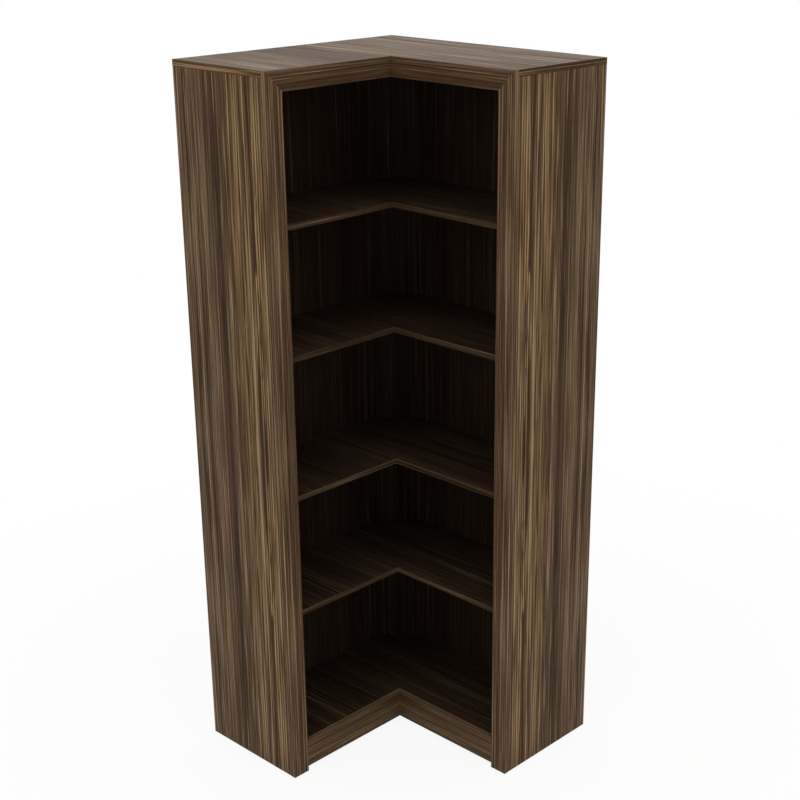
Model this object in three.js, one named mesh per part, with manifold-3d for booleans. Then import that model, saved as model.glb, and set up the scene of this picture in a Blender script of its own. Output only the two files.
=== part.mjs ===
// A corner shelf unit with two equal wings at a right angle.
//
// The unit is drawn from the corner of the room: the right wing runs along +X and the left wing
// along -Y. Each wing also has its own frame, in which x runs along its wall away from the corner,
// y runs out from that wall and z is up. Lengths are in millimetres.
import * as THREE from 'three';
import { mergeVertices } from 'three/addons/utils/BufferGeometryUtils.js';
import Module from 'manifold-3d';

const wasm = await Module();
wasm.setup();

// The whole unit
const unitHeight = 1800;
const wingLength = 715;
const wingDepth = 330;

// Boards and back sheets
const boardThickness = 15;
const sheetThickness = 3;

// Face frame
const frameThickness = 15;
const stileWidth = 48;
const topRailWidth = 48;
const plinthRailWidth = 75;
const toeGap = 14;

// The back: its distance from the wall, and the corner that the diagonal board cuts off it
const backInset = 54;
const cornerCut = 95;
const grooveDepth = 5;

// Shelf tops, lowest first, between the bottom board's top and the top board's underside
const shelfTopShares = [0.219, 0.404, 0.614, 0.802];

// Gaps between pieces
const seamGap = 0.3;
const fitGap = 0.3;
const endGap = 1;
const overrun = 2;

// Wood left beyond the end of a hole in a board's face
const drillSkin = 4;

// Cam fittings: a drum in the board and a bolt in its neighbour
const camRadius = 7.5;
const camSkin = 3;
const camSetback = 34;
const fittingMargin = 37;
const crossSlotWidth = 1.6;
const crossSlotLength = 8;
const crossSlotDepth = 1.5;
const boltHeadRadius = 3.5;
const boltHeadLength = 3;
const boltNeckRadius = 2.2;
const boltNeckLength = 4;
const boltShankRadius = 3;

// Shelf dowels
const dowelRadius = 4;
const dowelLength = 30;
const dowelChamfer = 1;

// Loose tongues that join the face frame to the board edges behind it
const tongueThickness = 4;
const tongueWidth = 16;
const tongueMargin = 30;

// Screws through the corner board
const screwLength = 50;
const screwHeadRadius = 5;
const screwHeadLength = 3;
const screwShankRadius = 3.5;
const screwThreadRadius = 2.8;
const screwTipLength = 3;

// Planes and heights that the pieces share
const boardFront = wingDepth - frameThickness;
const boardEnd = wingLength - boardThickness;
const topUnderside = unitHeight - boardThickness;
const bottomTop = toeGap + plinthRailWidth;
const bottomUnderside = bottomTop - boardThickness;
const stileInner = wingLength - stileWidth;
const stileShoulder = unitHeight - topRailWidth;
const cornerEnd = backInset + cornerCut;
const bevelWidth = boardThickness * Math.SQRT2;
const bevelEnd = cornerEnd - bevelWidth;
const panelMiddle = boardEnd + boardThickness / 2;
const drillDepth = boardThickness - drillSkin;
const sheetBack = backInset - sheetThickness;
const innerBoards = [{ name: 'bottom', top: bottomTop }];
for (const [i, share] of shelfTopShares.entries()) {
  innerBoards.push({ name: 'shelf_' + (i + 1), top: bottomTop + share * (topUnderside - bottomTop) });
}
const frontCam = boardFront - fittingMargin;
const rearDowel = backInset + fittingMargin;
const middleCam = (boardFront + backInset) / 2;

const along = new THREE.Vector3(1, 0, 0);
const out = new THREE.Vector3(0, 1, 0);
const up = new THREE.Vector3(0, 0, 1);
const inward = along.clone().negate();
const down = up.clone().negate();

// Each wing's frame, seen from the room's corner
const wings = {
  left: new THREE.Matrix4().makeBasis(out.clone().negate(), along, up),
  right: new THREE.Matrix4().makeBasis(along, out.clone().negate(), up),
};

function finish(color, roughness, metalness) {
  return new THREE.MeshStandardMaterial({ color, roughness, metalness, flatShading: true });
}

const finishes = {
  outerLaminate: finish('#5a4834', 0.45, 0),
  innerLaminate: finish('#3b2c20', 0.5, 0),
  backSheet: finish('#33261b', 0.6, 0),
  zinc: finish('#a3a5a6', 0.4, 1),
  steel: finish('#8f9294', 0.35, 1),
  beech: finish('#c9a878', 0.7, 0),
};

// Joins doubled vertices and drops the flat triangles that a lathe leaves at its poles.
function closed(geometry) {
  const bare = geometry.clone();
  bare.deleteAttribute('normal');
  bare.deleteAttribute('uv');
  const merged = mergeVertices(bare);
  const corners = merged.index.array;
  const kept = [];
  for (let i = 0; i < corners.length; i += 3) {
    const [a, b, c] = corners.subarray(i, i + 3);
    if (a !== b && b !== c && c !== a) kept.push(a, b, c);
  }
  merged.setIndex(kept);
  return merged;
}

// Carries a body into another frame. A mirroring frame turns its faces round, so they are put back.
function carried(geometry, frame) {
  const moved = geometry.clone().applyMatrix4(frame);
  if (frame.determinant() < 0) {
    const flipped = [];
    const corners = moved.index.array;
    for (let i = 0; i < corners.length; i += 3) flipped.push(corners[i], corners[i + 2], corners[i + 1]);
    moved.setIndex(flipped);
  }
  return moved;
}

// An upright prism on an outline drawn from above.
function prism(outline, bottom, top) {
  const shape = new THREE.Shape(outline.map(([x, y]) => new THREE.Vector2(x, y)));
  const body = new THREE.ExtrudeGeometry(shape, { depth: top - bottom, bevelEnabled: false });
  return closed(body.translate(0, 0, bottom));
}

// A prism on an outline drawn on the wing's front, x along the wing and y up, from back to front.
function frontPrism(outline, back, front) {
  const lying = prism(outline, -front, -back);
  return lying.applyMatrix4(new THREE.Matrix4().makeBasis(along, up, out.clone().negate()));
}

// A straight-sided block about its middle.
function block(size, middle) {
  const body = new THREE.BoxGeometry(size.x, size.y, size.z);
  return closed(body.translate(middle.x, middle.y, middle.z));
}

// A round body on its own axis, from a profile of [radius, height] that starts and ends at the axis.
function turned(profile, sides) {
  const points = profile.map(([radius, height]) => new THREE.Vector2(radius, height));
  return closed(new THREE.LatheGeometry(points, sides).rotateX(Math.PI / 2));
}

// Puts a turned body's foot at a point, with its axis along a direction.
function aimed(body, foot, direction) {
  const turn = new THREE.Quaternion().setFromUnitVectors(up, direction);
  return body.clone().applyQuaternion(turn).translate(foot.x, foot.y, foot.z);
}

function step(point, direction, distance) {
  return point.clone().addScaledVector(direction, distance);
}

function toSolid(geometry) {
  return new wasm.Manifold(new wasm.Mesh({
    numProp: 3,
    vertProperties: new Float32Array(geometry.attributes.position.array),
    triVerts: new Uint32Array(geometry.index.array),
  }));
}

function toGeometry(solid) {
  const mesh = solid.getMesh();
  const geometry = new THREE.BufferGeometry();
  geometry.setAttribute('position', new THREE.BufferAttribute(mesh.vertProperties, 3));
  geometry.setIndex(new THREE.BufferAttribute(mesh.triVerts, 1));
  return geometry;
}

function boxOf(geometry) {
  return new THREE.Box3().setFromBufferAttribute(geometry.attributes.position);
}

// Takes out of a body each tool that reaches it.
function cut(geometry, tools) {
  const bounds = boxOf(geometry);
  let solid = toSolid(geometry);
  for (const tool of tools) {
    if (bounds.intersectsBox(boxOf(tool))) solid = solid.subtract(toSolid(tool));
  }
  return toGeometry(solid);
}

// The boards stand in a group that centres the unit's outline on the origin.
const unit = new THREE.Group();
const corner = new THREE.Group();
corner.position.set(-wingLength / 2, wingLength / 2, 0);
unit.add(corner);

function addPiece(name, geometry, material) {
  const mesh = new THREE.Mesh(geometry, material);
  mesh.name = name;
  corner.add(mesh);
}

// Every hole goes in one list, which all boards share.
const holes = [];

// Profiles of the fasteners
const camHeight = boardThickness - camSkin;
const boltLength = drillDepth + camSetback + boltHeadLength / 2;

function pinProfile(radius, length) {
  return [[0, 0], [radius, 0], [radius, length], [0, length]];
}

const boltProfile = [
  [0, 0],
  [boltHeadRadius, 0],
  [boltHeadRadius, boltHeadLength],
  [boltNeckRadius, boltHeadLength],
  [boltNeckRadius, boltHeadLength + boltNeckLength],
  [boltShankRadius, boltHeadLength + boltNeckLength],
  [boltShankRadius, boltLength],
  [0, boltLength],
];

const dowelProfile = [
  [0, 0],
  [dowelRadius - dowelChamfer, 0],
  [dowelRadius, dowelChamfer],
  [dowelRadius, dowelLength - dowelChamfer],
  [dowelRadius - dowelChamfer, dowelLength],
  [0, dowelLength],
];

const screwProfile = [
  [0, 0],
  [screwHeadRadius, 0],
  [screwShankRadius, screwHeadLength],
  [screwShankRadius, boardThickness],
  [screwThreadRadius, boardThickness],
  [screwThreadRadius, screwLength - screwTipLength],
  [0, screwLength],
];

const screwHoleProfile = [
  [0, -overrun],
  [screwHeadRadius + fitGap, -overrun],
  [screwHeadRadius + fitGap, 0],
  [screwShankRadius + fitGap, screwHeadLength],
  [screwShankRadius + fitGap, boardThickness + seamGap],
  [screwThreadRadius + fitGap, boardThickness + seamGap],
  [screwThreadRadius + fitGap, screwLength + endGap],
  [0, screwLength + endGap],
];

const camSides = 16;
const boltSides = 10;
const dowelSides = 12;
const screwSides = 12;

// The two bars of the screwdriver's cross in a drum's face, sunk from its foot.
function crossSlot() {
  return [[crossSlotLength, crossSlotWidth], [crossSlotWidth, crossSlotLength]].map(([x, y]) => {
    const size = new THREE.Vector3(x, y, crossSlotDepth + overrun);
    return block(size, new THREE.Vector3(0, 0, (crossSlotDepth - overrun) / 2));
  });
}

// A cam joint at a seat on the joint's plane. The bolt screws in against the direction, the drum
// lies along it, and the drum's pocket opens on the face that the last argument points to.
function camJoint(side, name, seat, direction, face) {
  const frame = wings[side];
  const back = direction.clone().negate();
  const inside = face.clone().negate();
  const tip = step(seat, direction, camSetback + boltHeadLength / 2);
  const bolt = aimed(turned(boltProfile, boltSides), tip, back);
  const boltHole = turned(pinProfile(boltHeadRadius + fitGap, boltLength + 2 * endGap), boltSides);
  const bore = aimed(boltHole, step(tip, back, -endGap), back);
  const foot = step(step(seat, direction, camSetback), face, boardThickness / 2);
  const slotted = cut(turned(pinProfile(camRadius, camHeight), camSides), crossSlot());
  const drum = cut(aimed(slotted, foot, inside), [bore]);
  const pocketProfile = pinProfile(camRadius + fitGap, camHeight + fitGap + overrun);
  const pocket = aimed(turned(pocketProfile, camSides), step(foot, face, overrun), inside);
  addPiece(side + '_' + name + '_cam_bolt', carried(bolt, frame), finishes.steel);
  addPiece(side + '_' + name + '_cam_housing', carried(drum, frame), finishes.zinc);
  holes.push(carried(bore, frame), carried(pocket, frame));
}

// A dowel across the joint's plane at a seat, its shorter end in the end panel.
function shelfDowel(side, name, seat) {
  const start = step(seat, along, drillDepth - dowelLength);
  const dowel = aimed(turned(dowelProfile, dowelSides), start, along);
  const hole = turned(pinProfile(dowelRadius + fitGap, dowelLength + 2 * endGap), dowelSides);
  addPiece(side + '_' + name + '_dowel', carried(dowel, wings[side]), finishes.beech);
  holes.push(carried(aimed(hole, step(start, along, -endGap), along), wings[side]));
}

// A flat strip about a middle, in grooves with the clearance all round it.
function tongue(side, name, middle, size) {
  const strip = block(size, middle);
  const slot = block(size.clone().addScalar(2 * fitGap), middle);
  addPiece(side + '_' + name + '_tongue', carried(strip, wings[side]), finishes.beech);
  holes.push(carried(slot, wings[side]));
}

// Board ends against the end panels, and the end panels against the top board
for (const side of Object.keys(wings)) {
  for (const { name, top } of innerBoards) {
    const middle = top - boardThickness / 2;
    const doweled = name !== 'bottom';
    const cam = new THREE.Vector3(boardEnd, doweled ? frontCam : middleCam, middle);
    camJoint(side, name, cam, inward, down);
    if (doweled) shelfDowel(side, name, new THREE.Vector3(boardEnd, rearDowel, middle));
  }
  camJoint(side, 'top', new THREE.Vector3(panelMiddle, middleCam, topUnderside), down, inward);
}

// The face frame against the edges of the end panels, the top board and the bottom board
const railTongueMiddle = (wingDepth + stileInner) / 2;
const railTongueSize = new THREE.Vector3(
  stileInner - wingDepth - 2 * tongueMargin, tongueWidth, tongueThickness,
);
const stileTongueSize = new THREE.Vector3(
  tongueThickness, tongueWidth, topUnderside - 2 * tongueMargin,
);

for (const side of Object.keys(wings)) {
  const topRailSeat = new THREE.Vector3(railTongueMiddle, boardFront, unitHeight - boardThickness / 2);
  const plinthSeat = new THREE.Vector3(railTongueMiddle, boardFront, bottomTop - boardThickness / 2);
  tongue(side, 'stile', new THREE.Vector3(panelMiddle, boardFront, topUnderside / 2), stileTongueSize);
  tongue(side, 'top_rail', topRailSeat, railTongueSize);
  tongue(side, 'plinth_rail', plinthSeat, railTongueSize);
}

// One screw from behind the corner board into each L board
const diagonalOut = new THREE.Vector3(1, -1, 0).normalize();
const cornerFrontMiddle = new THREE.Vector3((backInset + cornerEnd) / 2, -(backInset + cornerEnd) / 2, 0);

for (const { name, top } of innerBoards) {
  const head = step(cornerFrontMiddle, diagonalOut, -boardThickness).setZ(top - boardThickness / 2);
  const screw = aimed(turned(screwProfile, screwSides), head, diagonalOut);
  addPiece(name + '_corner_screw', screw, finishes.steel);
  holes.push(aimed(turned(screwHoleProfile, screwSides), head, diagonalOut));
}

function addBoard(name, geometry, material) {
  addPiece(name, cut(geometry, holes), material);
}

// An end panel with the groove for the back sheet's edge.
function endPanel() {
  const panel = prism([
    [boardEnd, 0], [wingLength, 0], [wingLength, boardFront], [boardEnd, boardFront],
  ], 0, topUnderside);
  const groove = prism([
    [boardEnd - overrun, sheetBack - fitGap], [boardEnd + grooveDepth, sheetBack - fitGap],
    [boardEnd + grooveDepth, backInset + fitGap], [boardEnd - overrun, backInset + fitGap],
  ], -overrun, topUnderside + overrun);
  return cut(panel, [groove]);
}

// An upright of the face frame. Its top end is mitred down to the rail's lower edge.
function stile() {
  return frontPrism([
    [stileInner, 0], [wingLength, 0], [wingLength, unitHeight], [stileInner, stileShoulder],
  ], boardFront, wingDepth);
}

// The rails of the two wings meet on the unit's diagonal, half the seam's gap short of it.
const diagonalBack = seamGap / Math.SQRT2;

function topRail() {
  const mitreShift = seamGap * Math.hypot(stileWidth, topRailWidth) / topRailWidth;
  const rail = frontPrism([
    [boardFront, stileShoulder], [stileInner - mitreShift, stileShoulder],
    [wingLength - mitreShift, unitHeight], [boardFront, unitHeight],
  ], boardFront, wingDepth);
  const innerMitre = prism([
    [boardFront - overrun + diagonalBack, boardFront - overrun],
    [wingDepth + overrun + diagonalBack, wingDepth + overrun],
    [boardFront - overrun, wingDepth + overrun],
  ], stileShoulder - overrun, unitHeight + overrun);
  return cut(rail, [innerMitre]);
}

function plinthRail() {
  return prism([
    [boardFront + diagonalBack, boardFront], [stileInner, boardFront],
    [stileInner, wingDepth], [wingDepth + diagonalBack, wingDepth],
  ], toeGap, bottomTop);
}

// A thin sheet behind the boards, in the grooves of the end panel and the top board. Its inner edge
// laps the corner board's bevel.
function backSheet() {
  return prism([
    [bevelEnd, sheetBack], [boardEnd + grooveDepth - endGap, sheetBack],
    [boardEnd + grooveDepth - endGap, backInset], [bevelEnd, backInset],
  ], bottomUnderside, topUnderside + grooveDepth - endGap);
}

// The groove in the top board's underside for a back sheet's upper edge.
function topGroove() {
  return prism([
    [bevelEnd - endGap, sheetBack - fitGap], [boardEnd + grooveDepth, sheetBack - fitGap],
    [boardEnd + grooveDepth, backInset + fitGap], [bevelEnd - endGap, backInset + fitGap],
  ], topUnderside - overrun, topUnderside + grooveDepth);
}

// An L board between the end panels, with its rear corner cut off along the corner board.
function innerBoard(boardTop) {
  const cutEnd = cornerEnd + seamGap * Math.SQRT2;
  return prism([
    [cutEnd, -backInset], [boardEnd, -backInset], [boardEnd, -boardFront], [boardFront, -boardFront],
    [boardFront, -boardEnd], [backInset, -boardEnd], [backInset, -cutEnd],
  ], boardTop - boardThickness, boardTop);
}

// The L-shaped top board lies over the end panels and reaches both walls.
function topBoard() {
  const board = prism([
    [0, 0], [wingLength, 0], [wingLength, -boardFront], [boardFront, -boardFront],
    [boardFront, -wingLength], [0, -wingLength],
  ], topUnderside, unitHeight);
  return cut(board, Object.values(wings).map((frame) => carried(topGroove(), frame)));
}

// The diagonal board stands on the floor. Its long edges are bevelled to lie flat on the sheets.
function cornerBoard() {
  return prism([
    [cornerEnd, -backInset], [bevelEnd, -backInset], [backInset, -bevelEnd], [backInset, -cornerEnd],
  ], 0, topUnderside);
}

addBoard('top_board', topBoard(), finishes.outerLaminate);
addBoard('corner_back_board', cornerBoard(), finishes.innerLaminate);
for (const { name, top } of innerBoards) {
  addBoard(name === 'bottom' ? 'bottom_board' : name, innerBoard(top), finishes.innerLaminate);
}

for (const [side, frame] of Object.entries(wings)) {
  addBoard(side + '_end_panel', carried(endPanel(), frame), finishes.outerLaminate);
  addBoard(side + '_back_sheet', carried(backSheet(), frame), finishes.backSheet);
  addBoard(side + '_stile', carried(stile(), frame), finishes.outerLaminate);
  addBoard(side + '_top_rail', carried(topRail(), frame), finishes.outerLaminate);
  addBoard(side + '_plinth_rail', carried(plinthRail(), frame), finishes.outerLaminate);
}

export default unit;
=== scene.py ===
# A corner shelf unit with two equal wings, in walnut-pattern laminate, on a plain pale stage.
import math
from collections import namedtuple

import bmesh
import bpy
import numpy as np
from bpy.props import FloatProperty, FloatVectorProperty, IntProperty, PointerProperty
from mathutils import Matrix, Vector
from mathutils.geometry import tessellate_polygon


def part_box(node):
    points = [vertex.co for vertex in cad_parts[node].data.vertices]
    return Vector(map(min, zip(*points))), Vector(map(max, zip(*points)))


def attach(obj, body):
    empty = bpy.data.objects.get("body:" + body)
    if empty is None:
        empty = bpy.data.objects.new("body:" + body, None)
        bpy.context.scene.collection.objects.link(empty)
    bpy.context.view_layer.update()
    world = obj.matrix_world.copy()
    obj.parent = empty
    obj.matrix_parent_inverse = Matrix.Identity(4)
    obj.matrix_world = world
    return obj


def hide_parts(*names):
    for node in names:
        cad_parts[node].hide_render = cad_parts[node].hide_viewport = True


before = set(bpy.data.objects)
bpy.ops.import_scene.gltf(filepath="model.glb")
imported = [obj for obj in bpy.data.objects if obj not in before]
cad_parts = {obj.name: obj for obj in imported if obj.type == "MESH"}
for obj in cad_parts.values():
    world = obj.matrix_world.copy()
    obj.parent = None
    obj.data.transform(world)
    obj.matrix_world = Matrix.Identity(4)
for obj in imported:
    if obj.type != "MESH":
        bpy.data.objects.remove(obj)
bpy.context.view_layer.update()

bl_info = {
    "name": "Corner Shelf Unit",
    "version": (1, 0, 0),
    "blender": (4, 5, 0),
    "location": "3D View > Sidebar > Shelf Unit",
    "description": "Dresses a corner shelf unit with laminated boards, fittings and a stage",
    "category": "Object",
}

MM = 0.001
BODY = "root"


def paint(red, green, blue):
    """A colour written as it looks on a screen, 0 to 255, turned into the linear values of a shader."""
    shown = np.array([red, green, blue]) / 255
    linear = np.where(shown <= 0.04045, shown / 12.92, ((shown + 0.055) / 1.055) ** 2.4)
    return tuple(float(value) for value in linear)


def colour_property(name, description, colour):
    return FloatVectorProperty(
        name=name, description=description, default=colour, subtype="COLOR", size=3, min=0, max=1)


def length_property(name, description, length):
    return FloatProperty(name=name, description=description, default=length, unit="LENGTH", min=0)


def share_property(name, description, share):
    return FloatProperty(
        name=name, description=description, default=share, subtype="FACTOR", min=0, max=1)


# Places that the boards share, measured from the corner of the room

top_low, top_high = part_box("top_board")
ROOM_CORNER = np.array([top_low.x, top_high.y, 0.0])
THICKNESS = top_high.z - top_low.z
WING_LENGTH = top_high.x - top_low.x
UP = np.array([0.0, 0.0, 1.0])

# Each wing's axes in the room: along its wall, out from that wall, and up
WINGS = {
    "left": np.array([(0.0, -1.0, 0.0), (1.0, 0.0, 0.0), UP]),
    "right": np.array([(1.0, 0.0, 0.0), (0.0, -1.0, 0.0), UP]),
}

# The way from the corner of the room out between the wings
OUT = np.array([1.0, -1.0, 0.0]) / math.sqrt(2)


def corners_of(node):
    """Lowest and highest corner of a node, as arrays."""
    return np.array(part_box(node))


def wing_box(side, node):
    """Lowest and highest corner of a wing's node, in the wing's own frame."""
    corners = (corners_of(f"{side}_{node}") - ROOM_CORNER) @ WINGS[side].T
    return corners.min(0), corners.max(0)


def wing_size(node):
    low, high = wing_box("right", node)
    return high - low


FRONT_OF_BOARDS = wing_box("right", "end_panel")[1][1]
WING_DEPTH = wing_box("right", "stile")[1][1]
INNER_BOARDS = ("bottom_board", "shelf_1", "shelf_2", "shelf_3", "shelf_4")


class ShelfUnitBoards(bpy.types.PropertyGroup):
    """How the boards' edges are finished."""

    arris: length_property("Arris radius", "Rounding along a board's edges", 0.8 * MM)
    arris_steps: IntProperty(
        name="Arris steps", description="Facets across a rounded arris", default=4, min=1, max=12)
    # The edge line is partly the edge band's glue line, partly painted shade in the grooves where boards
    # meet
    border: length_property("Edge line", "Width of the edge band's line on a face", 1.1 * MM)
    sheet_arris: length_property("Sheet arris", "Rounding along a back sheet's edges", 0.3 * MM)
    seam: length_property("Seam", "Gap between the inner boards and the corner board", 0.42 * MM)
    pocket_gap: length_property("Pocket gap", "Gap round a fitting in its pocket", 0.3 * MM)


class ShelfUnitLaminate(bpy.types.PropertyGroup):
    """Colours and finish of the walnut print, with tints that paint shade inside the unit."""

    dark: colour_property("Dark", "The print's darkest streaks", paint(47, 31, 15))
    brown: colour_property("Brown", "The print's ground", paint(73, 54, 35))
    tan: colour_property("Tan", "The print's light wood", paint(106, 85, 60))
    pale: colour_property("Pale", "The print's palest lines", paint(145, 122, 94))
    frame_tint: colour_property("Frame tint", "Tint of the face frame's print", (1.0, 1.0, 1.0))
    top_tint: colour_property("Top tint", "Tint of the top board's print", (1.0, 0.965, 0.81))
    edge_tint: colour_property("Edge tint", "Tint of the shelves' front edges", (0.59, 0.6, 0.635))
    # Painted shade: this tint darkens every face that looks into the unit, for the shade inside it
    inner_tint: colour_property("Inner tint", "Darkens the faces inside", (0.42, 0.43, 0.48))
    # Painted shade: the back sheets and the corner board stand deep in the unit, and these tints darken
    # their print for the shade there
    sheet_tint: colour_property("Sheet tint", "Darkens the back sheets' print", (0.28, 0.28, 0.33))
    corner_tint: colour_property("Corner tint", "Darkens the corner board's print", (0.21, 0.22, 0.24))
    gloss: share_property("Gloss", "Strength of the laminate's reflections", 0.045)
    roughness: share_property("Roughness", "Mean roughness of the laminate", 0.4)
    hardboard: colour_property("Hardboard", "Bare rear of the back sheets", paint(128, 95, 66))
    chipboard: colour_property("Chipboard", "Bare core in the pockets", paint(178, 150, 112))


class ShelfUnitFittings(bpy.types.PropertyGroup):
    """Colours and sizes of the fittings."""

    zinc: colour_property("Zinc", "The cam housings' cast metal", paint(170, 172, 174))
    steel: colour_property("Steel", "Bolts, screws and nails", paint(186, 184, 180))
    beech: colour_property("Beech", "Dowels and loose tongues", paint(205, 172, 124))
    cross_width: length_property("Cross width", "Width of a driver cross's arms", 1.7 * MM)
    cross_length: length_property("Cross length", "Length of a cam's driver cross", 8.4 * MM)
    cross_depth: length_property("Cross depth", "Depth of a driver cross", 1.5 * MM)
    screw_cross_length: length_property("Screw cross", "Length of a screw's driver cross", 5.6 * MM)
    nail_radius: length_property("Nail head radius", "Radius of a sheet nail's head", 2.6 * MM)
    nail_height: length_property("Nail head height", "Height of a sheet nail's head", 0.9 * MM)
    nail_spacing: length_property("Nail spacing", "Distance between sheet nails", 95 * MM)
    nail_margin: length_property("Nail margin", "From a sheet's end to its first nail", 26 * MM)


class ShelfUnitStage(bpy.types.PropertyGroup):
    """The camera, the lamps and the floor."""

    azimuth: FloatProperty(
        name="Azimuth", description="The camera's turn about the unit",
        default=math.radians(43.057), subtype="ANGLE")
    elevation: FloatProperty(
        name="Elevation", description="The camera's tilt above the horizon",
        default=math.radians(20.525), subtype="ANGLE")
    camera_place: FloatVectorProperty(
        name="Camera place", description="Where the camera stands",
        default=(2.5095, -2.4785, 2.217), subtype="XYZ", unit="LENGTH")
    lens: FloatProperty(
        name="Lens", description="Focal length in millimetres on a 36 mm sensor", default=66.745)
    shift: FloatVectorProperty(
        name="Shift", description="The lens's shift across and up", default=(-0.06438, 0.02713), size=2)
    backdrop: colour_property("Backdrop", "What stands behind the unit", (1.0, 1.0, 1.0))
    daylight: FloatProperty(
        name="Daylight", description="Strength of the even light from all round", default=0.86, min=0)
    lamp_power: FloatProperty(
        name="Lamp power", description="Power of each soft lamp", default=20.0, min=0, subtype="POWER")
    shadow: share_property("Shadow", "How much of the floor's look is lit, so takes a shadow", 0.1)


class ShelfUnit(bpy.types.PropertyGroup):
    """All sizes and finishes of the shelf unit."""

    boards: PointerProperty(type=ShelfUnitBoards)
    laminate: PointerProperty(type=ShelfUnitLaminate)
    fittings: PointerProperty(type=ShelfUnitFittings)
    stage: PointerProperty(type=ShelfUnitStage)


def settings():
    return bpy.context.scene.shelf_unit


# Surfaces

# The edge bands are cut from another part of the print than the faces
EDGE_CUT = (0.43, 0.915)
POCKET_SIDES = 48

# The distance within which two points are one, and the bend from which a turned body's corner is hard
SAME_POINT = 0.002 * MM
HARD_CORNER = math.radians(32)


class Surface:
    """Gathers points and faces, with the print's coordinates at each corner of each face."""

    def __init__(self):
        self.points = []
        self.blocks = []
        self.count = 0

    def add_points(self, points):
        """Adds points and gives their numbers in the shape of their grid."""
        flat = points.reshape(-1, 3)
        numbers = self.count + np.arange(len(flat)).reshape(points.shape[:-1])
        self.points.append(flat)
        self.count += len(flat)
        return numbers

    def add_faces(self, faces, prints=None, smooth=False, inside=0.0, bare=0.0, edge=0.0):
        """Adds faces of one size, an array of corners, with the print's place at each corner."""
        prints = np.zeros((*faces.shape, 2)) if prints is None else prints.reshape(*faces.shape, 2)
        self.blocks.append((faces, prints, np.broadcast_to(edge, faces.shape), smooth, inside, bare))

    def add_rings(self, numbers, smooth=False):
        """Adds the faces of a grid whose last column joins its first."""
        following = np.roll(numbers, -1, -1)
        quads = np.stack([
            numbers[..., :-1, :], numbers[..., 1:, :], following[..., 1:, :], following[..., :-1, :],
        ], -1)
        self.add_faces(quads.reshape(-1, 4), smooth=smooth)

    def turn_over(self):
        """Reverses each face's corners, for a surface that a mirroring frame turned inside out."""
        self.blocks = [
            (faces[:, ::-1], prints[:, ::-1], edge[:, ::-1], *marks)
            for faces, prints, edge, *marks in self.blocks
        ]

    def mesh(self, name):
        faces, prints, edges, *marks = zip(*self.blocks)
        smooth, inside, bare = (np.repeat(mark, [len(block) for block in faces]) for mark in marks)
        edge = np.concatenate([block.ravel() for block in edges])
        mesh = bpy.data.meshes.new(name)
        corners = sum((block.tolist() for block in faces), [])
        mesh.from_pydata(np.concatenate(self.points).tolist(), [], corners)
        layer = mesh.uv_layers.new(name="Print")
        layer.data.foreach_set("uv", np.concatenate([block.ravel() for block in prints]))
        mesh.polygons.foreach_set("use_smooth", smooth)
        for key, domain, values in (
            ("edge", "CORNER", edge), ("inside", "FACE", inside), ("bare", "FACE", bare),
        ):
            attribute = mesh.attributes.new(key, "FLOAT", domain)
            attribute.data.foreach_set("value", values.astype(np.float32))
        mesh.update()
        return mesh


def close_poles(mesh):
    """Merges the points that meet on a round body's axis and marks its hard corners."""
    shape = bmesh.new()
    shape.from_mesh(mesh)
    bmesh.ops.remove_doubles(shape, verts=shape.verts, dist=SAME_POINT)
    bmesh.ops.recalc_face_normals(shape, faces=shape.faces)
    shape.to_mesh(mesh)
    shape.free()
    mesh.set_sharp_from_angle(angle=HARD_CORNER)


def show(name, surface, material, slot, *nodes, turned=False):
    """Puts a finished piece in the scene in place of its nodes, riding on the unit's body."""
    mesh = surface.mesh(name)
    if turned:
        close_poles(mesh)
    mesh.materials.append(finished(material))
    piece = bpy.data.objects.new(name, mesh)
    bpy.context.scene.collection.objects.link(piece)
    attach(piece, BODY)
    if nodes:
        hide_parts(*nodes)


def inset_steps(outline, shares):
    """For each corner of an anticlockwise outline, the step that takes both its edges in.

    With the outward normals m and n of the two edges and their shares s and t, the step a solves
    m . a = -s and n . a = -t.
    """
    edges = np.roll(outline, -1, 0) - outline
    normals = np.stack([edges[:, 1], -edges[:, 0]], 1) / np.linalg.norm(edges, axis=1, keepdims=True)
    pairs = np.stack([np.roll(normals, 1, 0), normals], 1)
    wanted = -np.stack([np.roll(shares, 1), shares], 1)
    return np.linalg.solve(pairs, wanted[..., None])[..., 0]


def edge_profile(thickness, arris, border, steps):
    """Rows of inset, height and edge line, from a board's lower face round its edge to the upper one.

    An arris is a quarter circle: its inset is r (1 - sin a) and its height r (1 - cos a), as a goes
    from nothing to a right angle. A border as wide as the edge line lies on both sides of it.
    """
    turn = np.linspace(0, math.pi / 2, steps + 1)
    arc = np.stack([arris * (1 - np.sin(turn)), arris * (1 - np.cos(turn)), np.ones_like(turn)], 1)
    lower = np.concatenate([[[arris + border, 0, 0]], arc, [[0, arris + border, 0]]])
    upper = lower[::-1] * [1, -1, 1] + [0, thickness, 0]
    return np.concatenate([lower, upper])


def round_corners(grid):
    """Four corners for each face of an edge, from the rows of points that run round a board."""
    following = np.roll(grid, -1, 1)
    return np.stack([grid[:-1], following[:-1], following[1:], grid[1:]], 2)


def up_corners(column):
    """What each row of an edge's profile says, at the four corners of that row's faces."""
    return np.concatenate([column[:-1], column[:-1], column[1:], column[1:]], 1)[:, None]


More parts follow.
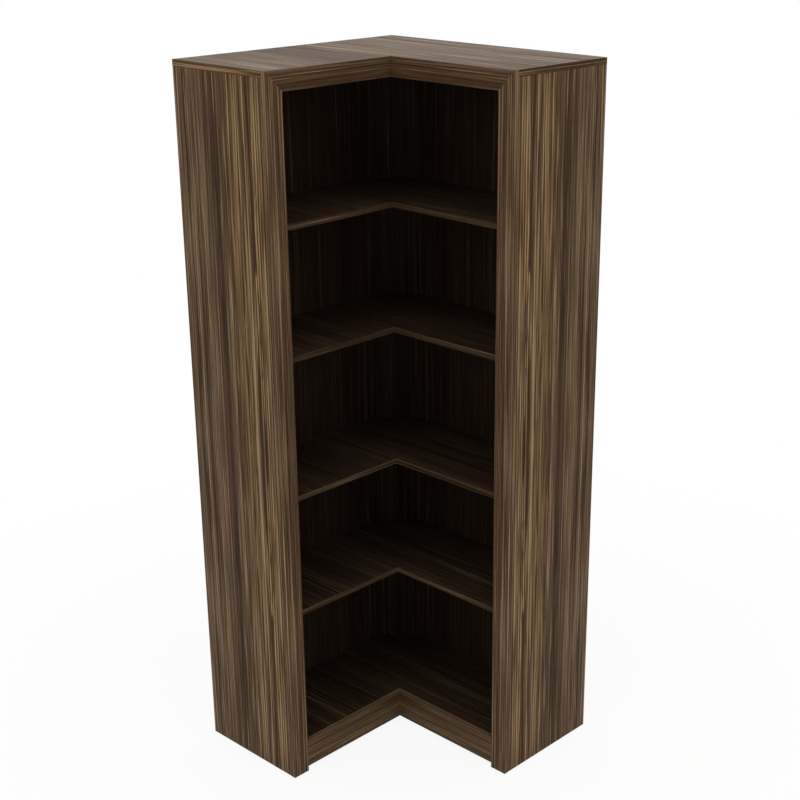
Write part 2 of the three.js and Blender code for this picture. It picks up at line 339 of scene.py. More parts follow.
def slab(outline, thickness, axes, origin, *, grain=0, cut=(0, 0), lean=None, shares=None,
         pockets=(), inside=(0, 0), bare=(0, 0), arris=None):
    """A board: an edge profile carried round its outline, with a flat face below and above.

    A point is outline + height * lean + inset * step along the board's first two axes, and height
    along the third. The print lies on the faces at its true scale, with its grain along the axis
    that grain names, and along the edge on the edge bands. Pockets are rows of place, radius and
    depth, sunk in the lower face. inside marks which of the lower and the upper face take painted
    shade, and bare which show bare core. An edge with a smaller share has a finer arris and a fainter
    dark line, which is partly painted shade.
    """
    boards = settings().boards
    arris = boards.arris if arris is None else arris
    outline = np.array(outline, float)
    lean = np.zeros_like(outline) if lean is None else np.array(lean, float)
    shares = np.ones(len(outline)) if shares is None else np.array(shares, float)
    profile = edge_profile(thickness, arris, min(boards.border, thickness / 4), boards.arris_steps)
    inset, height, line = profile.T[:, :, None]
    steps = inset_steps(outline, shares)
    flat = outline + inset[..., None] * steps + height[..., None] * lean

    def placed(points):
        return origin + points @ axes

    def printed(points):
        return (points[..., ::-1] if grain else points) + cut

    surface = Surface()
    heights = np.broadcast_to(height[..., None], (*flat.shape[:2], 1))
    numbers = surface.add_points(placed(np.concatenate([flat, heights], 2)))
    lengths = np.linalg.norm(np.roll(outline, -1, 0) - outline, axis=1)
    ends = np.cumsum(lengths)
    run = np.stack([ends - lengths, ends, ends, ends - lengths], 1)
    edge_prints = np.stack(np.broadcast_arrays(run, up_corners(height)), 3) + cut + EDGE_CUT
    marks = up_corners(line) * shares[:, None]
    quads = round_corners(numbers)
    face_prints = round_corners(printed(flat))
    rounded = np.minimum(line[:-1, 0], line[1:, 0]) > 0.5
    last = len(quads) - 1
    for row in range(last + 1):
        if row in (0, last):
            face = min(row, 1)
            surface.add_faces(quads[row], face_prints[row], False, inside[face], bare[face], marks[row])
        else:
            surface.add_faces(quads[row], edge_prints[row], rounded[row], edge=marks[row])

    surface.add_faces(numbers[-1][None], printed(flat[-1]), False, inside[1], bare[1])
    if len(pockets):
        add_pockets(surface, placed, printed, flat[0], numbers[0], pockets, inside[0], bare[0])
    else:
        surface.add_faces(numbers[0][None, ::-1], printed(flat[0][::-1]), False, inside[0], bare[0])
    if np.linalg.det(axes) < 0:
        surface.turn_over()
    return surface


def circle_points(sides):
    """Points on a circle of radius 1, anticlockwise."""
    angles = np.linspace(0, 2 * math.pi, sides, endpoint=False)
    return np.stack([np.cos(angles), np.sin(angles)], 1)


def add_pockets(surface, placed, printed, rim, rim_numbers, pockets, inside, bare):
    """Closes a board's lower face round its pockets: a circle in the face, a wall and a floor each."""
    pockets = np.array(pockets, float)
    circles = pockets[:, None, :2] + pockets[:, None, 2:3] * circle_points(POCKET_SIDES)
    walls = np.zeros((len(pockets), 2, POCKET_SIDES, 3))
    walls[..., :2] = circles[:, None]
    walls[:, 1, :, 2] = pockets[:, 3:]
    numbers = surface.add_points(placed(walls))

    corners = np.concatenate([rim, circles.reshape(-1, 2)])
    corner_numbers = np.concatenate([rim_numbers, numbers[:, 0].ravel()])
    triangles = np.array(tessellate_polygon([rim.tolist(), *circles.tolist()]))
    sides = np.diff(corners[triangles], axis=1)
    rising = sides[:, 0, 0] * sides[:, 1, 1] - sides[:, 0, 1] * sides[:, 1, 0] > 0
    triangles[rising] = triangles[rising][:, ::-1]
    surface.add_faces(corner_numbers[triangles], printed(corners[triangles]), False, inside, bare)

    following = np.roll(numbers, -1, 2)
    wall_faces = np.stack([following[:, 0], numbers[:, 0], numbers[:, 1], following[:, 1]], 2)
    next_circles = np.roll(circles, -1, 1)
    wall_prints = np.stack([next_circles, circles, circles, next_circles], 2)
    surface.add_faces(wall_faces.reshape(-1, 4), printed(wall_prints), True, bare=1.0)
    surface.add_faces(numbers[:, 1, ::-1], printed(circles[:, ::-1]), bare=1.0)


# Shader nodes


class Wire:
    """A shader socket to reckon with: each sum or product adds a Math node to its tree."""

    def __init__(self, socket):
        self.socket = socket

    def __add__(self, other):
        return calc("ADD", self, other)

    def __sub__(self, other):
        return calc("SUBTRACT", self, other)

    def __rsub__(self, other):
        return calc("SUBTRACT", other, self)

    def __mul__(self, other):
        return calc("MULTIPLY", self, other)

    def __truediv__(self, other):
        return calc("DIVIDE", self, other)

    def __pow__(self, power):
        return calc("POWER", self, power)


def feed(node, inputs):
    """Gives each named input of a node a value or a wire."""
    for key, value in inputs.items():
        if isinstance(value, Wire):
            node.id_data.links.new(value.socket, node.inputs[key])
        else:
            node.inputs[key].default_value = value


def add_node(tree, kind, inputs=None, **options):
    """Adds a node, sets its options, then feeds its inputs."""
    made = tree.nodes.new(kind)
    for key, value in options.items():
        setattr(made, key, value)
    feed(made, inputs or {})
    return made


def wired(kind, inputs, output=0, **options):
    """Adds a node to the tree that its first wire comes from, and gives one of its outputs."""
    first = next(value for value in inputs.values() if isinstance(value, Wire))
    return Wire(add_node(first.socket.id_data, kind, inputs, **options).outputs[output])


def calc(operation, *values, clamp=False):
    return wired("ShaderNodeMath", dict(enumerate(values)), operation=operation, use_clamp=clamp)


def mixed(factor, first, second, blend="MIX"):
    """Mixes two colours. The sockets 6, 7 and 2 are those of the colour form of the Mix node."""
    inputs = {"Factor": factor, 6: first, 7: second}
    return wired("ShaderNodeMix", inputs, 2, data_type="RGBA", blend_type=blend)


def levelled(value, low, high, to_low=0.0, to_high=1.0, shape="LINEAR"):
    """Maps a range of values to another in a straight line, and stops at its ends."""
    inputs = {"Value": value, "From Min": low, "From Max": high, "To Min": to_low, "To Max": to_high}
    return wired("ShaderNodeMapRange", inputs, "Result", interpolation_type=shape)


def spread(value, low, high, to_low=0.0, to_high=1.0):
    """Maps a range of values to another with a soft start and end."""
    return levelled(value, low, high, to_low, to_high, shape="SMOOTHSTEP")


def noise(place, scale=1.0, detail=2.0):
    return wired("ShaderNodeTexNoise", {"Vector": place, "Scale": scale, "Detail": detail}, "Fac")


def apart(vector):
    """The three parts of a vector or a colour."""
    made = add_node(vector.socket.id_data, "ShaderNodeSeparateXYZ", {"Vector": vector})
    return [Wire(part) for part in made.outputs]


def joined(x, y, z=0.0):
    return wired("ShaderNodeCombineXYZ", {"X": x, "Y": y, "Z": z})


def scaled(place, scale):
    return wired("ShaderNodeMapping", {"Vector": place, "Scale": scale}, "Vector")


def bump(height, strength, distance):
    return wired("ShaderNodeBump", {"Height": height, "Strength": strength, "Distance": distance}, "Normal")


def attribute(tree, name):
    return Wire(add_node(tree, "ShaderNodeAttribute", attribute_name=name).outputs["Fac"])


def object_place(tree):
    return Wire(add_node(tree, "ShaderNodeTexCoord").outputs["Object"])


# Between which values nearly all of a noise lies, and between which most of it
NOISE_SPAN = (0.28, 0.72)
SOFT_SPAN = (0.3, 0.7)

# A layer of streaks: how often it changes per metre along and across the grain, its own seed, and
# how far it moves the tone
Streak = namedtuple("Streak", "along across seed weight")
WIDE_STREAKS = Streak(0.3, 17, 2.3, 0.3)
MEDIUM_STREAKS = Streak(0.6, 44, 7.7, 0.14)
NARROW_STREAKS = Streak(0.8, 90, 19.4, 0.36)
FINE_STREAKS = Streak(1.0, 190, 3.1, 0.72)
HAIR_STREAKS = Streak(2.2, 460, 5.9, 0.75)
CLOUDS = Streak(2.4, 5.0, 28.6, 0.16)
DARK_STREAKS = Streak(2.4, 95, 12.4, -0.08)
PALE_LINES = Streak(0.25, 52, 17.9, 0.42)
DARK_LINES = Streak(0.3, 40, 37.2, -0.14)
EVEN_LINES = Streak(0.5, 34, 23.8, 0.44)
PORES = Streak(42, 1500, 21.2, 0.12)
WARM_STREAKS = Streak(1.6, 60, 33.3, 0.45)

# The grain's slow sway, whose size each board sets, and its quick waver, with its size in metres
SWAY = Streak(1.5, 3.0, 40.5, None)
WAVER = Streak(7.5, 14.0, 44.1, 0.001)

# Where the pores, the dark streaks and the warm ones begin and are full, in their noises' values
PORE_SPAN = (0.7, 0.86)
DARK_SPAN = (0.34, 0.1)
WARM_SPAN = (0.62, 0.95)

# How far a line reaches to either side of where its noise is level, in the noise's own values, how
# often a line fades and comes back per metre, and between which values of its noise
LINE_REACH = 0.034
LINE_FADES = 2.3
LINE_FADE_SPAN = (0.3, 0.62)

# How often a streak fades and comes back per metre, as a share of the root of its layer's number
# across the grain, so that a wide streak lasts longer. Then how strong it is when faint and when
# strong
STREAK_FADES = 0.36
FAINT_AND_STRONG = (-0.3, 2.0)

# The distance between the even lines, how far they stray from it, in lines, and their fading's seed
LINE_SPACING = 0.0092
LINE_STRAYING = 1.2
EVEN_FADE_SEED = 61.3

# The power that makes the pale streaks thinner than the dark ground between them, and the mean that
# it leaves
PALE_THINNING = 2.0
THINNED_MIDDLE = 0.3

# How strong the layers are in a lively part of the print and in a calm one, the tints of its gold
# and warm parts, and how much colour a calm part keeps
LIVELY_AND_CALM = (1.15, 0.6)
GOLD_TINT = (1.02, 1.0, 0.93, 1)
WARM_TINT = (1.14, 0.95, 0.84, 1)
CALM_SATURATION = 0.92

# How far the streaks stand out of the surface and the pores go into it, as shares of the bump
STREAK_RELIEF = 0.4
PORE_RELIEF = 0.8


def drawn_out(place, layer, detail=2.0):
    """A layer's noise, which is long along the grain and narrow across it."""
    along, across, _ = apart(place)
    return noise(joined(along * layer.along, across * layer.across, layer.seed), detail=detail)


def streaks(place, layer, detail=2.0):
    """A layer's noise, spread over 0 to 1."""
    return levelled(drawn_out(place, layer, detail), *NOISE_SPAN)


def fading(place, layer):
    """How strong each streak of a layer is, as it comes and goes along the grain."""
    fades = layer._replace(along=STREAK_FADES * math.sqrt(layer.across), seed=-layer.seed)
    return spread(drawn_out(place, fades, detail=0.0), *SOFT_SPAN, *FAINT_AND_STRONG)


def thin_lines(place, layer):
    """Long thin lines, drawn where stretched noise crosses its middle value, that fade along the grain."""
    off = calc("ABSOLUTE", drawn_out(place, layer, detail=1.0) - 0.5)
    fades = drawn_out(place, layer._replace(along=LINE_FADES, seed=-layer.seed), detail=0.0)
    return spread(off, LINE_REACH, 0.0) * spread(fades, *LINE_FADE_SPAN)


def even_lines(place):
    """Nearly evenly spaced pale lines that fade along the grain."""
    straying = streaks(place, EVEN_LINES, detail=0.0) * LINE_STRAYING
    turns = apart(place)[1] * (1 / LINE_SPACING) + straying
    wave = calc("SINE", turns * (2 * math.pi))
    peaks = levelled(wave, -1.0, 1.0) ** PALE_THINNING
    fades = streaks(place, EVEN_LINES._replace(along=LINE_FADES, seed=EVEN_FADE_SEED), detail=0.0)
    return (peaks - THINNED_MIDDLE) * fades


def grain_drift(given):
    """Lets the grain wander to either side: a slow sway along the board and a quicker, smaller one."""
    along, drift, _ = apart(given["Vector"])
    for layer, size in ((SWAY, given["Sway"]), (WAVER, WAVER.weight)):
        drift = drift + (drawn_out(given["Vector"], layer, detail=1.0) - 0.5) * size
    return {"Vector": joined(along, drift)}


def walnut_print(given):
    """The print: a tone built from layers of streaks, a figure and pores, then coloured."""
    place = given["Vector"]
    liveliness = spread(given["Calm"], 0.0, 1.0, *LIVELY_AND_CALM) * given["Contrast"]
    values = {
        layer: streaks(place, layer, detail=1.0)
        for layer in (MEDIUM_STREAKS, NARROW_STREAKS, FINE_STREAKS, HAIR_STREAKS, CLOUDS)
    }
    tone = given["Tone"]
    for layer, value in values.items():
        weight = liveliness * layer.weight
        if layer is not CLOUDS:
            weight = weight * fading(place, layer)
        tone = tone + (value ** PALE_THINNING - THINNED_MIDDLE) * weight
    lone = {layer: thin_lines(place, layer) for layer in (PALE_LINES, DARK_LINES)}
    lone[DARK_STREAKS] = spread(streaks(place, DARK_STREAKS, detail=1.0), *DARK_SPAN)
    for layer, value in lone.items():
        tone = tone + value * (liveliness * layer.weight)
    tone = tone + even_lines(place) * (given["Gold"] * given["Contrast"] * EVEN_LINES.weight)
    tone = tone * (1.0 - figure(place) * given["Figure"])
    pores = spread(streaks(place, PORES, detail=0.0), *PORE_SPAN)
    tone = tone - pores * PORES.weight

    colour = given["Dark"]
    for step, key in enumerate(("Brown", "Tan", "Pale")):
        colour = mixed(levelled(tone, step / 3, (step + 1) / 3), colour, given[key])
    colour = mixed(given["Gold"], colour, GOLD_TINT, "MULTIPLY")
    warm = spread(streaks(place, WARM_STREAKS), *WARM_SPAN)
    colour = mixed(warm * WARM_STREAKS.weight, colour, WARM_TINT, "MULTIPLY")
    saturation = levelled(given["Calm"], 0.0, 1.0, 1.0, CALM_SATURATION)
    muted = wired("ShaderNodeHueSaturation", {"Saturation": saturation, "Color": colour}, "Color")
    relief = (values[HAIR_STREAKS] + values[FINE_STREAKS]) * STREAK_RELIEF - pores * PORE_RELIEF
    return {"Color": mixed(1.0, muted, given["Tint"], "MULTIPLY"), "Tone": tone, "Height": relief}


# The panels' figure, measured along the grain from the height where the print turns. Its middle is a
# share of the wing's depth and slants. Its outlines are uneven: how often per metre along and across,
# the seed, and how far in metres. A shape's softness is the length in which it begins
FIGURE_SHARE = 0.835
FIGURE_SLANT = -0.017
FIGURE_UNEVENNESS = Streak(5.0, 60.0, 3.7, 0.07)
FIGURE_SOFTNESS = 0.045

# The dark spear's tip, how slowly it widens from there, its half width near the tip and at its far
# end, and where that is. The heart's tip and how slowly it widens. How dark both are
SPEAR_TIP = 0.45
SPEAR_CURVE = 1300.0
SPEAR_HALF_WIDTH = (0.0075, 0.003)
SPEAR_END = 0.9
HEART_TIP = 0.14
HEART_CURVE = 3400.0
SPEAR_WEIGHT = 0.9

# Where the arches begin, their curve, spacing, half width and darkness, and the part of a wave that
# draws one
ARCHES_FROM = 0.17
ARCH_CURVE = 577.0
ARCH_SPACING = 0.1
ARCH_HALF_WIDTH = 0.026
ARCH_WEIGHT = 0.4
ARCH_SPAN = (0.1, 0.95)

# A pale line and a row of dark knots beside the figure: share of the depth, half width and strength,
# the distance between knots, and the parts of its wave that draw a knot and pale the line
PALE_SHARE = 0.752
PALE_HALF_WIDTH = 0.0045
PALE_WEIGHT = 0.3
PALE_FAINTEST = 0.5
KNOT_SHARE = 0.56
KNOT_HALF_WIDTH = 0.005
KNOT_WEIGHT = 0.45
KNOT_SPACING = 0.28
KNOT_SPAN = (-0.2, -0.9)


def figure(place):
    """Dark spears pointing at each other along the grain, with nested arches under the upper point.

    With d the distance from the figure's middle, the spear is where along - SPEAR_CURVE * d * d is
    beyond its tip, the heart where along + HEART_CURVE * d * d is short of its own, and an arch is
    where along + ARCH_CURVE * d * d passes a whole number of spacings. The pale line and the knots
    keep to one place across the grain, and come and go along it.
    """
    along, across, _ = apart(place)
    off = across - (along * FIGURE_SLANT + FIGURE_SHARE * WING_DEPTH)
    squared = off * off
    uneven = along + drawn_out(place, FIGURE_UNEVENNESS) * FIGURE_UNEVENNESS.weight

    beyond = uneven - squared * SPEAR_CURVE
    reach = levelled(along, SPEAR_TIP, SPEAR_END, *(width ** 2 for width in SPEAR_HALF_WIDTH))
    near = calc("SUBTRACT", 1.0, squared / reach, clamp=True)
    spear = spread(beyond, SPEAR_TIP, SPEAR_TIP + FIGURE_SOFTNESS) * near
    heart = spread(uneven + squared * HEART_CURVE, HEART_TIP, HEART_TIP - FIGURE_SOFTNESS)

    wave = calc("SINE", (uneven + squared * ARCH_CURVE) / ARCH_SPACING * (2 * math.pi))
    band = calc("SUBTRACT", 1.0, squared / ARCH_HALF_WIDTH ** 2, clamp=True)
    above = spread(along, ARCHES_FROM, ARCHES_FROM + FIGURE_SOFTNESS)
    below = spread(beyond, SPEAR_TIP + FIGURE_SOFTNESS, SPEAR_TIP)
    arches = spread(wave, *ARCH_SPAN) * (band * above * below)

    def beside(share, half_width):
        """1 in the middle of a line along the grain, 0 beyond its half width."""
        return spread(calc("ABSOLUTE", across - share * WING_DEPTH), half_width, 0.0)

    rhythm = calc("COSINE", uneven * (2 * math.pi / KNOT_SPACING))
    knots = beside(KNOT_SHARE, KNOT_HALF_WIDTH) * spread(rhythm, *KNOT_SPAN)
    pale = beside(PALE_SHARE, PALE_HALF_WIDTH) * spread(rhythm, -1.0, 1.0, PALE_FAINTEST, 1.0)
    dark = (spear + heart) * SPEAR_WEIGHT + arches * ARCH_WEIGHT + knots * KNOT_WEIGHT
    return dark - pale * PALE_WEIGHT


# The dark line along an arris, partly the edge band's glue line and partly painted shade that deepens the
# grooves where boards meet: its tint, how patchy it is, and the patches' size. The bare core's flakes and
# how dark and light they are
EDGE_LINE_AND_SEAM_SHADE_TINT = (0.75, 0.71, 0.67, 1)
PATCH_SPAN = (0.3, 0.6, 0.5, 1.0)
PATCH_SCALE = 38.0
FLAKE_SCALE = 420.0
FLAKE_SHADES = (0.62, 1.12)


def board_edges(given):
    """Darkens the line along an arris unevenly, partly as painted shade, paints shade on the faces marked
    inside, and lays bare core on the faces marked bare.
    """
    patchy = spread(noise(given["Vector"], PATCH_SCALE, detail=3.0), *PATCH_SPAN)
    # Partly painted shade: the line along each arris deepens the grooves where boards meet
    line = spread(given["Edge"], 0.0, 1.0) * patchy
    # Painted shade on the faces marked inside
    inside = mixed(given["Inside"], given["Color"], given["Inside Tint"], "MULTIPLY")
    lined = mixed(line, inside, EDGE_LINE_AND_SEAM_SHADE_TINT, "MULTIPLY")
    flakes = wired("ShaderNodeTexVoronoi", {"Vector": given["Vector"], "Scale": FLAKE_SCALE}, "Color")
    flake_tone = apart(flakes)[0]
    speckle = spread(flake_tone, 0.0, 1.0, *FLAKE_SHADES)
    core = mixed(1.0, given["Bare Color"], joined(speckle, speckle, speckle), "MULTIPLY")
    return {"Color": mixed(given["Bare"], lined, core), "Height": flake_tone * given["Bare"]}


# What builds each node group, what it takes and what it gives. The sockets that aren't named among the
# kinds hold a value
SOCKET_KINDS = {"Vector": "NodeSocketVector"} | dict.fromkeys(
    ("Color", "Dark", "Brown", "Tan", "Pale", "Tint", "Inside Tint", "Bare Color"), "NodeSocketColor")
NODE_GROUPS = {
    "Grain Drift": (grain_drift, ("Vector", "Sway"), ("Vector",)),
    "Walnut Print": (
        walnut_print,
        ("Vector", "Tone", "Calm", "Gold", "Figure", "Contrast", "Dark", "Brown", "Tan", "Pale", "Tint"),
        ("Color", "Tone", "Height")),
    "Board Edges": (
        board_edges, ("Color", "Vector", "Edge", "Inside", "Bare", "Inside Tint", "Bare Color"),
        ("Color", "Height")),
}


def node_group(name):
    """A shader node group, built the first time it is asked for."""
    if name in bpy.data.node_groups:
        return bpy.data.node_groups[name]
    build, takes, gives = NODE_GROUPS[name]
    tree = bpy.data.node_groups.new(name, "ShaderNodeTree")
    for keys, side in ((takes, "INPUT"), (gives, "OUTPUT")):
        for key in keys:
            kind = SOCKET_KINDS.get(key, "NodeSocketFloat")
            tree.interface.new_socket(key, in_out=side, socket_type=kind)
    given = {socket.name: Wire(socket) for socket in tree.nodes.new("NodeGroupInput").outputs}
    feed(tree.nodes.new("NodeGroupOutput"), build(given))
    return tree


def use_group(tree, name, inputs):
    """Uses a node group, and gives its outputs by name."""
    made = add_node(tree, "ShaderNodeGroup", inputs, node_tree=node_group(name))
    return {socket.name: Wire(socket) for socket in made.outputs}


# Materials

# Bands across the end panels, as shares of the wing's depth from the wall, across the stiles and top
# rails, from the opening outwards, and up the plinth rails: share of the width, tone, calm and gold
PANEL_BANDS = (
    (0.00, 0.42, 0.6, 0.0), (0.055, 0.56, 0.6, 0.0), (0.125, 0.09, 0.6, 0.0), (0.152, 0.77, 0.6, 0.0),
    (0.178, 0.49, 0.6, 0.0), (0.205, 0.35, 0.6, 0.1), (0.235, 0.42, 0.6, 0.0), (0.26, 0.67, 0.6, 0.0),
    (0.29, 0.62, 0.7, 0.0), (0.34, 0.44, 0.7, 0.0), (0.39, 0.30, 0.8, 0.0), (0.41, 0.23, 0.8, 0.0),
    (0.465, 0.27, 0.7, 0.0), (0.49, 0.47, 0.6, 0.0), (0.52, 0.35, 0.5, 0.2), (0.55, 0.28, 0.4, 0.3),
    (0.59, 0.52, 0.1, 0.9), (0.61, 0.41, 0.0, 1.0), (0.636, 0.75, 0.0, 1.0), (0.655, 0.23, 0.0, 1.0),
    (0.675, 0.54, 0.0, 1.0), (0.702, 0.68, 0.0, 1.0), (0.72, 0.43, 0.0, 1.0), (0.75, 0.87, 0.3, 0.7),
    (0.787, 0.27, 0.0, 0.9), (0.815, 0.54, 0.0, 1.0), (0.835, 0.42, 0.0, 1.0), (0.86, 0.69, 0.0, 1.0),
    (0.905, 0.64, 0.1, 0.9), (0.92, 0.33, 0.2, 0.8), (0.95, 0.58, 0.4, 0.4), (0.975, 0.29, 0.6, 0.1),
)
STILE_BANDS = (
    (0.00, 0.49, 0.9, 0.0), (0.20, 0.40, 0.9, 0.0), (0.30, 0.45, 0.8, 0.0), (0.40, 0.43, 0.8, 0.0),
    (0.54, 0.30, 0.7, 0.0), (0.655, 0.68, 0.7, 0.0), (0.75, 0.43, 0.7, 0.1), (0.83, 0.21, 0.7, 0.1),
    (0.90, 0.15, 0.7, 0.0), (0.96, 0.44, 0.7, 0.0),
)
# Painted highlight: the top rails' and the plinth rails' last band, along their top edge, is lighter where
# light catches that edge. The top rails' lower tones are partly painted shade from the inner corner; the
# rest is print
RAIL_PRINT_AND_LIGHT_BANDS = (
    (0.00, 0.49, 0.8, 0.0), (0.10, 0.31, 0.7, 0.1), (0.33, 0.17, 0.6, 0.1), (0.40, 0.29, 0.6, 0.1),
    (0.46, 0.44, 0.6, 0.1), (0.55, 0.47, 0.6, 0.0), (0.61, 0.38, 0.6, 0.0), (0.68, 0.45, 0.6, 0.1),
    (0.85, 0.36, 0.7, 0.0), (0.95, 0.51, 0.7, 0.0), (1.00, 0.61, 0.7, 0.0),
)
PLINTH_PRINT_AND_LIGHT_BANDS = (
    (0.00, 0.42, 0.5, 0.1), (0.11, 0.44, 0.5, 0.2), (0.18, 0.22, 0.4, 0.3), (0.25, 0.46, 0.5, 0.1),
    (0.40, 0.53, 0.5, 0.1), (0.48, 0.46, 0.4, 0.2), (0.62, 0.50, 0.4, 0.2), (0.70, 0.27, 0.5, 0.1),
    (0.80, 0.20, 0.5, 0.1), (0.90, 0.46, 0.6, 0.0), (1.00, 0.58, 0.7, 0.0),
)

# A board's print: its tint, which on the back sheets and the corner board is painted shade, its ground
# tone or its bands with their width, its sway, how strong its streaks are, how much it shines, what shows
# where it is bare, and how much of the figure it has
Look = namedtuple(
    "Look", "tint ground width sway contrast shine bare figured",
    defaults=(0.0, 0.008, 1.0, 1.0, "chipboard", 0.0))

# The print is mirrored end to end at this height
PRINT_TURN = 0.893

# For boards without set bands: the seeds of their calm and gold parts, with what their noise is
# spread from and to
CALM_SEED = 51.2
CALM_LEVELS = (0.2, 0.8, 0.3, 0.9)
GOLD_SEED = 57.8
GOLD_LEVELS = (0.5, 1.0, 0.0, 0.8)

# How much rougher the print is than its mean where it is dark and where it is pale, between which
# tones, and how much rougher the bare core is. Then the strength and depth of its relief
SHEEN_SPAN = (0.1, 0.9)
SHEEN = (0.07, -0.05)
BARE_ROUGHNESS = 0.4
PRINT_RELIEF = (0.35, 0.08 * MM)

# The metals: how fine their mottling and scratches are, the shade of the mottling, the roughness from
# and to, and the relief. Then the beech's fibres, flecks, roughness and relief
SHADE_SPAN = (0.35, 0.7)
MOTTLE_SCALE = 260.0
SCRATCH_SCALE = (900.0, 5200.0, 900.0)
METAL_SHADE = (0.8, 0.8, 0.82, 1)
ZINC_ROUGHNESS = (0.3, 0.46)
STEEL_ROUGHNESS = (0.22, 0.36)
METAL_RELIEF = (0.3, 0.05 * MM)
FIBRE_SCALE = (700.0, 700.0, 60.0)
BEECH_FLECK = (0.78, 0.68, 0.56, 1)
BEECH_ROUGHNESS = (0.6, 0.78)
BEECH_RELIEF = (0.4, 0.1 * MM)


def new_material(name):
    material = bpy.data.materials.new(name)
    material.use_nodes = True
    tree = material.node_tree
    return material, tree, tree.nodes["Principled BSDF"]


def ramp_bands(place, look):
    """Tone, calm and gold from a ramp across the grain, which its red, green and blue hold."""
    share = apart(place)[1] / look.width
    ramp_node = add_node(share.socket.id_data, "ShaderNodeValToRGB", {"Fac": share})
    ramp = ramp_node.color_ramp
    ramp.interpolation = "EASE"
    while len(ramp.elements) < len(look.ground):
        ramp.elements.new(1.0)
    for element, (position, *levels) in zip(ramp.elements, look.ground):
        element.position = position
        element.color = (*levels, 1.0)
    return apart(Wire(ramp_node.outputs["Color"]))


def noise_bands(place, look):
    """Tone, calm and gold from broad streaks about a ground tone, for boards without set bands."""
    wide = streaks(place, WIDE_STREAKS) - 0.5
    calm = spread(streaks(place, WIDE_STREAKS._replace(seed=CALM_SEED)), *CALM_LEVELS)
    gold = spread(streaks(place, WIDE_STREAKS._replace(seed=GOLD_SEED)), *GOLD_LEVELS)
    return wide * (WIDE_STREAKS.weight * look.contrast) + look.ground, calm, gold


def looks():
    """How the print lies on each kind of board."""
    finish = settings().laminate
    tint = finish.frame_tint
    return {
        "Panel Laminate": Look((1.0, 1.0, 1.0), PANEL_BANDS, WING_DEPTH, 0.004, figured=1.0),
        "Stile Laminate": Look(tint, STILE_BANDS, wing_size("stile")[0], 0.004, contrast=0.9),
        # The rails' bands hold a painted highlight along their top edges, and the top rails' some painted
        # shade
        "Rail Laminate": Look(tint, RAIL_PRINT_AND_LIGHT_BANDS, wing_size("top_rail")[2], 0.004, contrast=0.75),
        "Plinth Laminate": Look(tint, PLINTH_PRINT_AND_LIGHT_BANDS, wing_size("plinth_rail")[2], contrast=0.6),
        "Top Laminate": Look(finish.top_tint, 0.445, sway=0.02, contrast=0.9, shine=0.93),
        "Shelf Laminate": Look(finish.edge_tint, 0.4, contrast=0.6, shine=0.7),
        # Painted shade: the back sheets' and the corner board's tints darken them for the shade deep in the
        # unit
        "Sheet Laminate": Look(finish.sheet_tint, 0.4, contrast=0.45, shine=0.3, bare="hardboard"),
        "Corner Laminate": Look(finish.corner_tint, 0.4, contrast=0.6, shine=0.3),
    }


def laminate(name):
    """A laminate with the walnut print on the Print map."""
    look, finish = looks()[name], settings().laminate
    material, tree, shader = new_material(name)
    place = Wire(add_node(tree, "ShaderNodeUVMap", uv_map="Print").outputs["UV"])
    along, across, _ = apart(place)
    mirrored = joined(calc("ABSOLUTE", along - PRINT_TURN), across)
    drifted = use_group(tree, "Grain Drift", {"Vector": mirrored, "Sway": look.sway})["Vector"]
    tone, calm, gold = ramp_bands(drifted, look) if look.width else noise_bands(drifted, look)
    colours = {key.title(): (*getattr(finish, key), 1) for key in ("dark", "brown", "tan", "pale")}
    wood = use_group(tree, "Walnut Print", colours | {
        "Vector": drifted, "Tone": tone, "Calm": calm, "Gold": gold, "Figure": look.figured,
        "Contrast": look.contrast, "Tint": (*look.tint, 1),
    })
    # Painted shade for the faces inside, as a share of the board's own tint
    inner = np.array(finish.inner_tint) / np.array(look.tint)
    bare = attribute(tree, "bare")
    edges = use_group(tree, "Board Edges", {
        "Color": wood["Color"], "Vector": place, "Edge": attribute(tree, "edge"),
        "Inside": attribute(tree, "inside"), "Bare": bare,
        "Inside Tint": (*inner.clip(0, 1), 1), "Bare Color": (*getattr(finish, look.bare), 1),
    })
    sheen = spread(wood["Tone"], *SHEEN_SPAN, *(finish.roughness + more for more in SHEEN))
    feed(shader, {
        "Base Color": edges["Color"],
        "Roughness": sheen + bare * BARE_ROUGHNESS,
        "Normal": bump(wood["Height"] + edges["Height"], *PRINT_RELIEF),
        "Specular IOR Level": finish.gloss * look.shine,
    })
    return material


def metal(name):
    """Metal with faint mottling and fine scratches on Object coordinates."""
    material, tree, shader = new_material(name)
    place = object_place(tree)
    mottle = noise(place, MOTTLE_SCALE, detail=4.0)
    scratches = noise(scaled(place, SCRATCH_SCALE))
    if name == "Cast Zinc":
        colour, rough = settings().fittings.zinc, spread(mottle, *SOFT_SPAN, *ZINC_ROUGHNESS)
    else:
        colour, rough = settings().fittings.steel, spread(scratches, *SOFT_SPAN, *STEEL_ROUGHNESS)
    feed(shader, {
        "Base Color": mixed(spread(mottle, *SHADE_SPAN), (*colour, 1), METAL_SHADE, "MULTIPLY"),
        "Metallic": 1.0,
        "Roughness": rough,
        "Normal": bump(mottle + scratches, *METAL_RELIEF),
    })
    return material


def beech(name):
    """Bare beech with short flecks along the height, on Object coordinates."""
    material, tree, shader = new_material(name)
    fibres = noise(scaled(object_place(tree), FIBRE_SCALE), detail=3.0)
    colour = (*settings().fittings.beech, 1)
    feed(shader, {
        "Base Color": mixed(spread(fibres, *SHADE_SPAN), colour, BEECH_FLECK, "MULTIPLY"),
        "Roughness": spread(fibres, *SOFT_SPAN, *BEECH_ROUGHNESS),
        "Normal": bump(fibres, *BEECH_RELIEF),
    })
    return material


